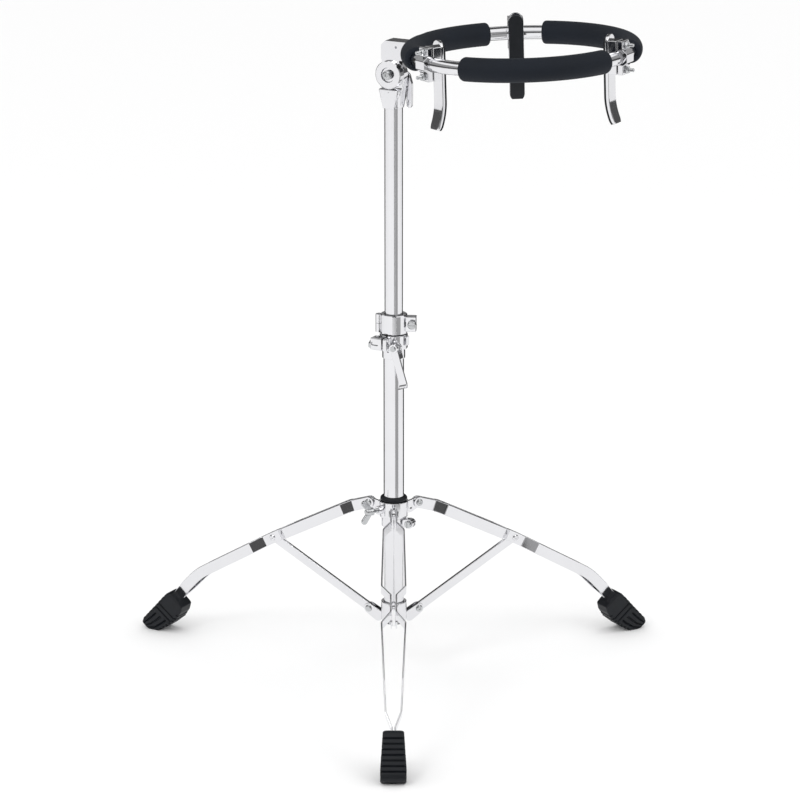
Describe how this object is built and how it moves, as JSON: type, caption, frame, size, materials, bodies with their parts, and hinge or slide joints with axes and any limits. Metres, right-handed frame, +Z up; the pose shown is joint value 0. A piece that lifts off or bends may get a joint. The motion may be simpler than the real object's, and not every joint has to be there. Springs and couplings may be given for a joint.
{
  "type": "hand drum stand",
  "caption": "Folding tripod stand with a telescopic column, tilter and padded ring with clamp arms that hold one hand drum.",
  "frame": {"origin": "on the floor, in the middle of the stand's footprint", "axes": "+Z up along the column; -Y towards the front leg; +X towards the ring's side"},
  "size_m": [0.7434, 0.6444, 0.9546],
  "materials": {
    "chrome": "bright chrome plate",
    "steel": "zinc-bright fasteners",
    "foam": "matte closed-cell foam",
    "rubber": "moulded black rubber",
    "nylon": "black nylon"
  },
  "bodies": {
    "column": {"base_tube": "chrome", "tube_plug": "nylon", "lower_bracket": "chrome", "height_clamp": "chrome", "clamp_bolt": "steel", "lever_pin": "steel"},
    "collar": {"leg_collar": "chrome", "collar_ring": "rubber", "collar_pinch_bolt": "steel"},
    "collar_wing": {"collar_wing_bolt": "steel"},
    "front_leg": {"front_leg_left_strip": "chrome", "front_leg_right_strip": "chrome", "front_foot": "rubber", "front_leg_pin": "steel"},
    "right_leg": {"right_leg_left_strip": "chrome", "right_leg_right_strip": "chrome", "right_foot": "rubber", "right_leg_pin": "steel"},
    "left_leg": {"left_leg_left_strip": "chrome", "left_leg_right_strip": "chrome", "left_foot": "rubber", "left_leg_pin": "steel"},
    "front_brace": {"front_brace": "chrome", "front_brace_pin": "steel"},
    "right_brace": {"right_brace": "chrome", "right_brace_pin": "steel"},
    "left_brace": {"left_brace": "chrome", "left_brace_pin": "steel"},
    "height_lever": {"height_lever": "chrome"},
    "memory_lock": {"memory_lock_body": "chrome", "memory_lock_jaw": "chrome", "memory_lock_pin": "steel"},
    "memory_screw": {"memory_lock_screw": "steel"},
    "swivel": {"clamp_bush": "nylon"},
    "upper": {"upper_tube": "chrome", "tilter_base": "chrome", "tilter_bolt": "steel"},
    "tilter_wing": {"tilter_wing": "chrome"},
    "ring": {"ring_bracket": "chrome", "ring_rod": "chrome", "bracket_foam_sleeve": "foam", "front_foam_sleeve": "foam", "far_foam_sleeve": "foam"},
    "rear_arm": {"rear_arm_bar": "chrome", "rear_arm_pad": "rubber", "rear_arm_jaw": "chrome", "rear_arm_upper_bolt": "steel", "rear_arm_lower_bolt": "steel"},
    "front_arm": {"front_arm_bar": "chrome", "front_arm_pad": "rubber", "front_arm_jaw": "chrome", "front_arm_upper_bolt": "steel", "front_arm_lower_bolt": "steel"},
    "far_arm": {"far_arm_bar": "chrome", "far_arm_pad": "rubber", "far_arm_jaw": "chrome", "far_arm_upper_bolt": "steel", "far_arm_lower_bolt": "steel"}
  },
  "joints": [
    {"name": "collar_slide", "type": "slide", "parent": "column", "child": "collar", "axis": [0, 0, 1], "range_m": [0, 0.18]},
    {"name": "front_leg_fold", "type": "hinge", "parent": "collar", "child": "front_leg", "pos_m": [0, 0.05867, 0.2527], "axis": [1, 0, 0], "range_deg": [0, 45.2]},
    {"name": "right_leg_fold", "type": "hinge", "parent": "collar", "child": "right_leg", "pos_m": [0.03377, 0.11717, 0.2527], "axis": [-0.5, 0.866, 0], "range_deg": [0, 45.2]},
    {"name": "left_leg_fold", "type": "hinge", "parent": "collar", "child": "left_leg", "pos_m": [-0.03377, 0.11717, 0.2527], "axis": [-0.5, -0.866, 0], "range_deg": [0, 45.2]},
    {"name": "front_brace_fold", "type": "hinge", "parent": "column", "child": "front_brace", "pos_m": [0, 0.05867, 0.0943], "axis": [-1, 0, 0], "range_deg": [0, 45.2]},
    {"name": "right_brace_fold", "type": "hinge", "parent": "column", "child": "right_brace", "pos_m": [0.03377, 0.11717, 0.0943], "axis": [0.5, -0.866, 0], "range_deg": [0, 45.2]},
    {"name": "left_brace_fold", "type": "hinge", "parent": "column", "child": "left_brace", "pos_m": [-0.03377, 0.11717, 0.0943], "axis": [0.5, 0.866, 0], "range_deg": [0, 45.2]},
    {"name": "collar_wing_turn", "type": "hinge", "parent": "collar", "child": "collar_wing", "pos_m": [-0.03464, 0.07767, 0.25], "axis": [-0.866, -0.5, 0], "range_deg": [-180, 180]},
    {"name": "height_lever_turn", "type": "hinge", "parent": "column", "child": "height_lever", "pos_m": [0.00265, 0.06727, 0.4915], "axis": [-0.5, -0.866, 0], "range_deg": [0, 80]},
    {"name": "memory_lock_slide", "type": "slide", "parent": "column", "child": "memory_lock", "axis": [0, 0, 1], "range_m": [0, 0.2]},
    {"name": "memory_screw_turn", "type": "hinge", "parent": "memory_lock", "child": "memory_screw", "pos_m": [0.02606, 0.09493, 0.51925], "axis": [0.1045, 0.9945, 0], "range_deg": [-180, 180]},
    {"name": "column_swivel", "type": "hinge", "parent": "column", "child": "swivel", "pos_m": [0, 0.09767, 0.495], "axis": [0, 0, 1], "continuous": true},
    {"name": "height_slide", "type": "slide", "parent": "swivel", "child": "upper", "axis": [0, 0, 1], "range_m": [-0.19, 0.12]},
    {"name": "tilter_wing_turn", "type": "hinge", "parent": "upper", "child": "tilter_wing", "pos_m": [0, 0.09767, 0.8715], "axis": [0.4772, 0.8788, 0], "range_deg": [-55, 0]},
    {"name": "ring_tilt", "type": "hinge", "parent": "upper", "child": "ring", "pos_m": [0, 0.09767, 0.8715], "axis": [0.4772, 0.8788, 0], "range_deg": [-60, 60]},
    {"name": "rear_arm_shift", "type": "hinge", "parent": "ring", "child": "rear_arm", "pos_m": [0.17067, 0.00501, 0.92], "axis": [-0.0322, 0.0175, 0.9993], "range_deg": [-9, 9]},
    {"name": "front_arm_shift", "type": "hinge", "parent": "ring", "child": "front_arm", "pos_m": [0.17067, 0.00501, 0.92], "axis": [-0.0322, 0.0175, 0.9993], "range_deg": [-9, 9]},
    {"name": "far_arm_shift", "type": "hinge", "parent": "ring", "child": "far_arm", "pos_m": [0.17067, 0.00501, 0.92], "axis": [-0.0322, 0.0175, 0.9993], "range_deg": [-9, 9]}
  ],
  "couplings": [
    {"joint": "front_leg_fold", "follows": "collar_slide", "rad_per_m": 4.3761},
    {"joint": "right_leg_fold", "follows": "collar_slide", "rad_per_m": 4.3761},
    {"joint": "left_leg_fold", "follows": "collar_slide", "rad_per_m": 4.3761},
    {"joint": "front_brace_fold", "follows": "collar_slide", "rad_per_m": 4.3761},
    {"joint": "right_brace_fold", "follows": "collar_slide", "rad_per_m": 4.3761},
    {"joint": "left_brace_fold", "follows": "collar_slide", "rad_per_m": 4.3761}
  ]
}
